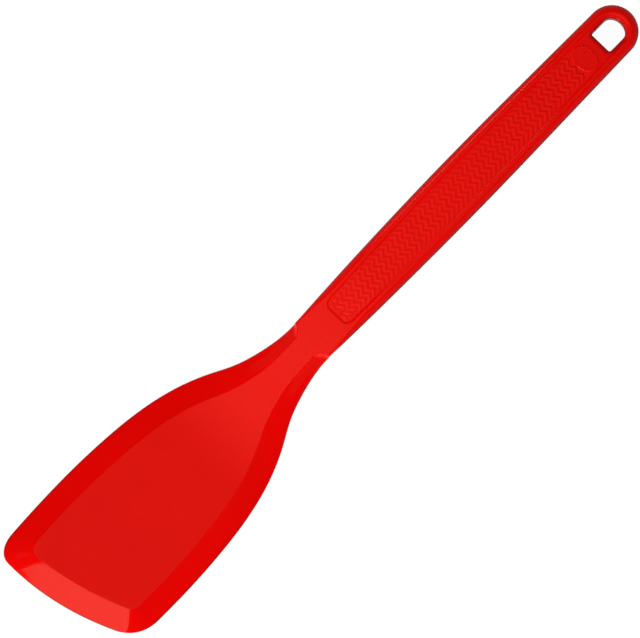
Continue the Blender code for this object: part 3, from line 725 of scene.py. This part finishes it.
class Shader:
    """A node material on a Principled surface, with short ways to add nodes to it."""

    def __init__(self, name, **settings):
        self.material = bpy.data.materials.new(name)
        self.material.use_nodes = True
        self.nodes, self.links = self.material.node_tree.nodes, self.material.node_tree.links
        self.surface = self.nodes["Principled BSDF"]
        for label, value in settings.items():
            self.surface.inputs[label.replace("_", " ")].default_value = value
        places = self.nodes.new("ShaderNodeTexCoord").outputs
        self.place, self.facing = places["Object"], places["Normal"]

    def add(self, kind, inputs=(), **settings):
        """A node with its settings; an input is a value or the output that feeds it."""
        node = self.nodes.new("ShaderNode" + kind)
        for label, value in settings.items():
            setattr(node, label, value)
        for label, value in dict(inputs).items():
            if isinstance(value, bpy.types.NodeSocket):
                self.links.new(value, node.inputs[label])
            else:
                node.inputs[label].default_value = value
        return node

    def stretched(self, scale):
        """Object coordinates in millimetres, scaled along each axis."""
        scale = [value / MM for value in scale]
        return self.add("Mapping", {"Vector": self.place, "Scale": scale}).outputs[0]

    def noise(self, size, detail=2.0, rough=0.5, stretch=(1.0, 1.0, 1.0)):
        """Noise whose patches are about size millimetres across."""
        vector = self.stretched([value / size for value in stretch])
        inputs = {"Vector": vector, "Scale": 1.0, "Detail": detail, "Roughness": rough}
        return self.add("TexNoise", inputs).outputs["Fac"]

    def spread(self, value, low, high, start=0.3, stop=0.7):
        """Maps a noise's middle range onto low to high."""
        inputs = {"Value": value, "From Min": start, "From Max": stop, "To Min": low, "To Max": high}
        return self.add("MapRange", inputs).outputs["Result"]

    def maths(self, operation, a, b):
        return self.add("Math", {0: a, 1: b}, operation=operation).outputs[0]

    def mix(self, factor, a, b):
        """a where the factor is 0 and b where it is 1, through the node's two colour inputs."""
        return self.add("Mix", {"Factor": factor, 6: a, 7: b}, data_type="RGBA").outputs[2]

    def axes(self, vector):
        return self.add("SeparateXYZ", {0: vector}).outputs

    def ramp(self, value, ends, low=0.0, high=1.0):
        """low up to the first of two ends in millimetres, and high from the second on."""
        return self.spread(value, low, high, *(end * MM for end in ends))

    def blade_below(self, heights):
        """1 on the blade up to a low height, 0 above a high one and on the handle."""
        axes = self.axes(self.place)
        low = self.ramp(axes["Z"], heights, 1.0, 0.0)
        return self.maths("MULTIPLY", low, self.ramp(axes["X"], BLADE_ALONG, 1.0, 0.0))

    def steep(self):
        """1 on upright walls of the handle and neck, 0 on the neck's stops, the blade and level faces: where
        shade is painted and the roughness rises.
        """
        level = self.maths("ABSOLUTE", self.axes(self.facing)["Z"], 0.0)
        upright = self.spread(level, 1.0, 0.0, *STEEP_LEVEL)
        along = self.axes(self.place)["X"]
        neck, stops, handle = (self.ramp(along, ends) for ends in STEEP_ALONG)
        where = self.maths("ADD", self.maths("SUBTRACT", neck, stops), handle)
        return self.maths("MULTIPLY", upright, where)

    def rim(self):
        """1 on the outermost strip of the blade's lip, 0 elsewhere and on faces that look down: where shade
        is painted.
        """
        level = self.spread(self.axes(self.facing)["Z"], 0.0, 1.0, *RIM_LEVEL)
        return self.maths("MULTIPLY", self.blade_below(RIM_HEIGHTS), level)

    def eyelet(self):
        """1 beside the straight sides of the hanging hole, 0 further out and towards its round end: where
        shade is painted.
        """
        axes = self.axes(self.place)
        aside = self.maths("ABSOLUTE", self.maths("ADD", axes["Y"], EYE_SHIFT * MM), 0.0)
        near = self.ramp(aside, EYE_SIDES, 1.0, 0.0)
        near = self.maths("MULTIPLY", near, self.ramp(axes["X"], EYE_FROM))
        return self.maths("MULTIPLY", near, self.ramp(axes["X"], EYE_TO, 1.0, 0.0))

    def bump(self, height, distance, under=None):
        """A bump whose height of 0 to 1 is a distance in millimetres."""
        inputs = {"Height": height, "Distance": distance * MM, "Strength": 1.0}
        if under is not None:
            inputs["Normal"] = under
        return self.add("Bump", inputs).outputs[0]

    def feed(self, label, output):
        self.links.new(output, self.surface.inputs[label])


def silicone_material():
    """Dyed silicone rubber: a blasted mould's fine grain, faint flow marks, a soft sheen of gloss, and
    painted light and shade.
    """
    made = Shader("red_silicone", IOR=1.41, Specular_IOR_Level=0.12, Specular_Tint=SHEEN)
    mottle = made.noise(14.0, detail=3.0, rough=0.55)
    flecks = made.noise(0.55, detail=1.0)
    colour = made.mix(made.spread(mottle, 0.0, 1.0), *SILICONE_REDS)
    colour = made.mix(made.spread(flecks, 0.0, 0.35), colour, FLECK_RED)
    # Painted light: the bevels a lighter red, by height.
    colour = made.mix(made.blade_below(BEVEL_HEIGHTS), colour, BEVEL_PAINTED_LIGHT_RED)
    steep = made.steep()
    # Painted shade: the dark red laid on upright walls, the lip's rim and beside the hanging hole; the walls
    # also get a higher roughness.
    painted_shade = made.maths("MAXIMUM", steep, made.maths("MULTIPLY", made.rim(), RIM_PAINTED_SHADE))
    painted_shade = made.maths("MAXIMUM", painted_shade, made.maths("MULTIPLY", made.eyelet(), EYE_PAINTED_SHADE))
    made.feed("Base Color", made.mix(painted_shade, colour, PAINTED_SHADE_RED))
    wear = made.spread(made.noise(9.0), -ROUGH_VARIES, ROUGH_VARIES)
    grain = made.spread(made.noise(0.3, detail=1.0), -ROUGH_VARIES, ROUGH_VARIES)
    rough = made.maths("ADD", made.maths("ADD", wear, grain), ROUGH)
    made.feed("Roughness", made.maths("MAXIMUM", rough, made.maths("MULTIPLY", steep, ROUGH_STEEP)))
    waves = made.bump(made.noise(7.0, rough=0.4), 0.01)
    waves = made.bump(made.noise(2.8, detail=1.0, rough=0.4), 0.004, waves)
    made.feed("Normal", made.bump(made.noise(0.28, rough=0.6), 0.0005, waves))
    return made.material


def nylon_material():
    """Glass-filled nylon dyed to match: short fibres lie along the flow, with a duller, rougher skin."""
    made = Shader("red_nylon", IOR=1.53, Specular_IOR_Level=0.35)
    fibres = made.noise(0.5, rough=0.6, stretch=(0.25, 1.0, 1.0))
    made.feed("Base Color", made.mix(made.spread(fibres, 0.0, 1.0), *NYLON_REDS))
    made.feed("Roughness", made.spread(made.noise(0.8), 0.46, 0.6))
    made.feed("Normal", made.bump(fibres, 0.012))
    return made.material


def steel_material():
    """Rolled spring steel: fine lines along the strip, and a few dull patches where the primer took."""
    made = Shader("spring_steel", Metallic=1.0)
    lines = made.noise(0.35, detail=3.0, rough=0.6, stretch=(0.02, 1.0, 1.0))
    dull = made.noise(11.0, detail=3.0)
    made.feed("Base Color", made.mix(made.spread(dull, 0.0, 1.0), *STEEL_GREYS))
    rough = made.maths("ADD", made.spread(lines, 0.22, 0.34), made.spread(dull, 0.0, 0.12))
    made.feed("Roughness", rough)
    made.feed("Normal", made.bump(lines, 0.004))
    return made.material


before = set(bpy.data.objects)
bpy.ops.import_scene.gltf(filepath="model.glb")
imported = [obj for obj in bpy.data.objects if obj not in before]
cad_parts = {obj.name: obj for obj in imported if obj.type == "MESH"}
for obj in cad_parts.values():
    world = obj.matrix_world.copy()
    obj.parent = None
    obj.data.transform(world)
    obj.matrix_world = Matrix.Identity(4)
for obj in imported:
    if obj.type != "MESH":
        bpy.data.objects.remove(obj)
cad_box = [list(corner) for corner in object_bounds()]

body = finished(silicone_skin(), "silicone_skin", silicone_material(), cad_box)
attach(body, "root")
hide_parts("silicone_body")

for node, material in (("handle_core", nylon_material()), ("blade_core", steel_material())):
    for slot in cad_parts[node].material_slots:
        slot.material = material

# Camera: almost straight down, turned so that the handle runs to the upper right. It sees this many metres
# across at its distance.
SEEN, DISTANCE, TILT, TURN = 0.2313, 2.0, 3.1, -45.88
AIM = (-0.0076, 0.00347, 0.006)
camera = bpy.data.objects.new("camera", bpy.data.cameras.new("camera"))
bpy.context.scene.collection.objects.link(camera)
bpy.context.scene.camera = camera
camera.data.clip_start, camera.data.clip_end = 0.05, 20.0
camera.data.sensor_width = 36.0
camera.data.lens = camera.data.sensor_width * DISTANCE / SEEN
lean = Matrix.Rotation(math.radians(TILT), 4, "X")
turn = Matrix.Rotation(math.radians(TURN), 4, "Z")
camera.matrix_world = Matrix.Translation(AIM) @ lean @ turn @ Matrix.Translation((0, 0, DISTANCE))

# Studio: a cloth tent with dim shoulders, a soft roof that brightens towards the blade's side, a tall key
# light beyond the blade, a small fill light beside the handle, and a white paper floor. The tent's walls end
# at a height of the direction, and the roof at a reach, which is the distance out at a height of 1. Behind,
# the reach counts less by a factor.
TENT, SHOULDER, TENT_TO = 0.45, 0.1, (0.64, 0.79)
FRONT, FRONT_TURN, FRONT_STEP = 2.1, 9.0, (0.3, 0.95)
ROOF, ROOF_FRONT, ROOF_RISE = 0.77, 2.25, (0.0, 0.4)
ROOF_BACK, ROOF_FALL = 0.45, (-0.35, 0.0)
ROOF_STEP, ROOF_BEHIND = (0.41, 0.47), -0.7


class Sky:
    """Short ways to build a smooth pattern of light over the directions of the sky."""

    def __init__(self, tree):
        self.tree = tree

    def add(self, kind, values, **settings):
        node = self.tree.nodes.new("ShaderNode" + kind)
        for label, value in settings.items():
            setattr(node, label, value)
        for socket, value in zip(node.inputs, values):
            if isinstance(value, bpy.types.NodeSocket):
                self.tree.links.new(value, socket)
            else:
                socket.default_value = value
        return node.outputs[0]

    def maths(self, operation, *values):
        return self.add("Math", values, operation=operation)

    def step(self, value, ends, low, high, smooth="SMOOTHSTEP"):
        return self.add("MapRange", (value, *ends, low, high), interpolation_type=smooth)


def studio_world():
    """The tent's light, by direction: its walls, its dim shoulders and its roof."""
    world = bpy.data.worlds.new("studio")
    world.use_nodes = True
    sky = Sky(world.node_tree)
    place = world.node_tree.nodes.new("ShaderNodeTexCoord").outputs["Generated"]
    split = world.node_tree.nodes.new("ShaderNodeSeparateXYZ")
    world.node_tree.links.new(place, split.inputs[0])
    x, y, z = split.outputs
    up = sky.maths("MAXIMUM", z, 0.01)
    ahead = sky.maths("DIVIDE", sky.maths("MULTIPLY", x, -1.0), up)
    side = sky.maths("DIVIDE", y, up)
    reach = sky.maths("MAXIMUM", ahead, sky.maths("MULTIPLY", ahead, ROOF_BEHIND))
    reach = sky.maths("ADD", sky.maths("POWER", reach, 2.0), sky.maths("MULTIPLY", side, side))
    reach = sky.maths("SQRT", reach)
    roof = sky.step(ahead, ROOF_RISE, 0.0, ROOF_FRONT - ROOF, "LINEAR")
    roof = sky.maths("ADD", roof, sky.step(ahead, ROOF_FALL, ROOF_BACK, ROOF, "LINEAR"))
    roof = sky.maths("MULTIPLY", roof, sky.step(reach, ROOF_STEP, 1.0, 0.0))
    turned = math.radians(FRONT_TURN)
    front = sky.maths("MULTIPLY", x, -math.cos(turned))
    front = sky.maths("ADD", front, sky.maths("MULTIPLY", y, -math.sin(turned)))
    front = sky.maths("ADD", sky.step(front, FRONT_STEP, 0.0, FRONT), TENT)
    walls = sky.maths("MULTIPLY", front, sky.step(z, TENT_TO, 1.0, 0.0))
    total = sky.maths("ADD", sky.maths("ADD", walls, roof), SHOULDER)
    background = world.node_tree.nodes["Background"]
    world.node_tree.links.new(total, background.inputs["Strength"])
    background.inputs["Color"].default_value = (1.0, 1.0, 1.0, 1.0)
    return world


bpy.context.scene.world = studio_world()


def softbox(name, azimuth, elevation, distance, width, height, watts, aim=(0.0, 0.0, 0.0), spread=180.0):
    """A rectangular lamp at an azimuth, in degrees from -X towards -Y, that looks at the aim."""
    light = bpy.data.lights.new(name, "AREA")
    light.shape, light.energy, light.size, light.size_y = "RECTANGLE", watts, width, height
    light.spread = math.radians(spread)
    made = bpy.data.objects.new(name, light)
    around, up = math.radians(azimuth), math.radians(elevation)
    away = Vector((-math.cos(around) * math.cos(up), -math.sin(around) * math.cos(up), math.sin(up)))
    made.location = Vector(aim) + away * distance
    made.rotation_euler = away.to_track_quat("Z", "Y").to_euler()
    bpy.context.scene.collection.objects.link(made)


softbox("key_softbox", azimuth=14.1, elevation=36.0, distance=3.5, width=1.05, height=4.1, watts=78.5)
softbox(
    "fill_softbox", azimuth=-100.0, elevation=40.0, distance=0.5, width=0.2, height=0.5, watts=0.065,
    aim=(0.04, 0.0, 0.0), spread=40.0,
)


PAPER_GLOW, SHADOW_SHARE = 0.95, 0.08
FLOOR_SIZE, FLOOR_DROP = 12.0, 0.0001


def paper_material():
    """White paper. The camera, mirrors and glass see it lit up to plain white, and it keeps the shadow."""
    made = Shader("floor_paper", Roughness=0.9, Specular_IOR_Level=0.1)
    grey = made.spread(made.noise(40.0, detail=3.0), 0.6, 0.64)
    made.feed("Base Color", made.add("CombineColor", {"Red": grey, "Green": grey, "Blue": grey}).outputs[0])
    ray = made.add("LightPath").outputs
    seen = made.maths("MAXIMUM", ray["Is Camera Ray"], ray["Is Glossy Ray"])
    seen = made.maths("MAXIMUM", seen, ray["Is Transmission Ray"])
    glow = made.add("Emission", {"Color": (1.0, 1.0, 1.0, 1.0), "Strength": PAPER_GLOW})
    pale = made.add("BsdfDiffuse", {"Color": (SHADOW_SHARE, SHADOW_SHARE, SHADOW_SHARE, 1.0)})
    lit = made.add("AddShader", {0: glow.outputs[0], 1: pale.outputs[0]})
    both = made.add("MixShader", {0: seen, 1: made.surface.outputs[0], 2: lit.outputs[0]})
    made.links.new(both.outputs[0], made.nodes["Material Output"].inputs["Surface"])
    return made.material


bpy.ops.mesh.primitive_plane_add(size=FLOOR_SIZE, location=(0, 0, -FLOOR_DROP))
ground = bpy.context.object
ground.name = "floor"
ground.data.materials.append(paper_material())

bpy.context.scene.view_settings.view_transform = "Standard"
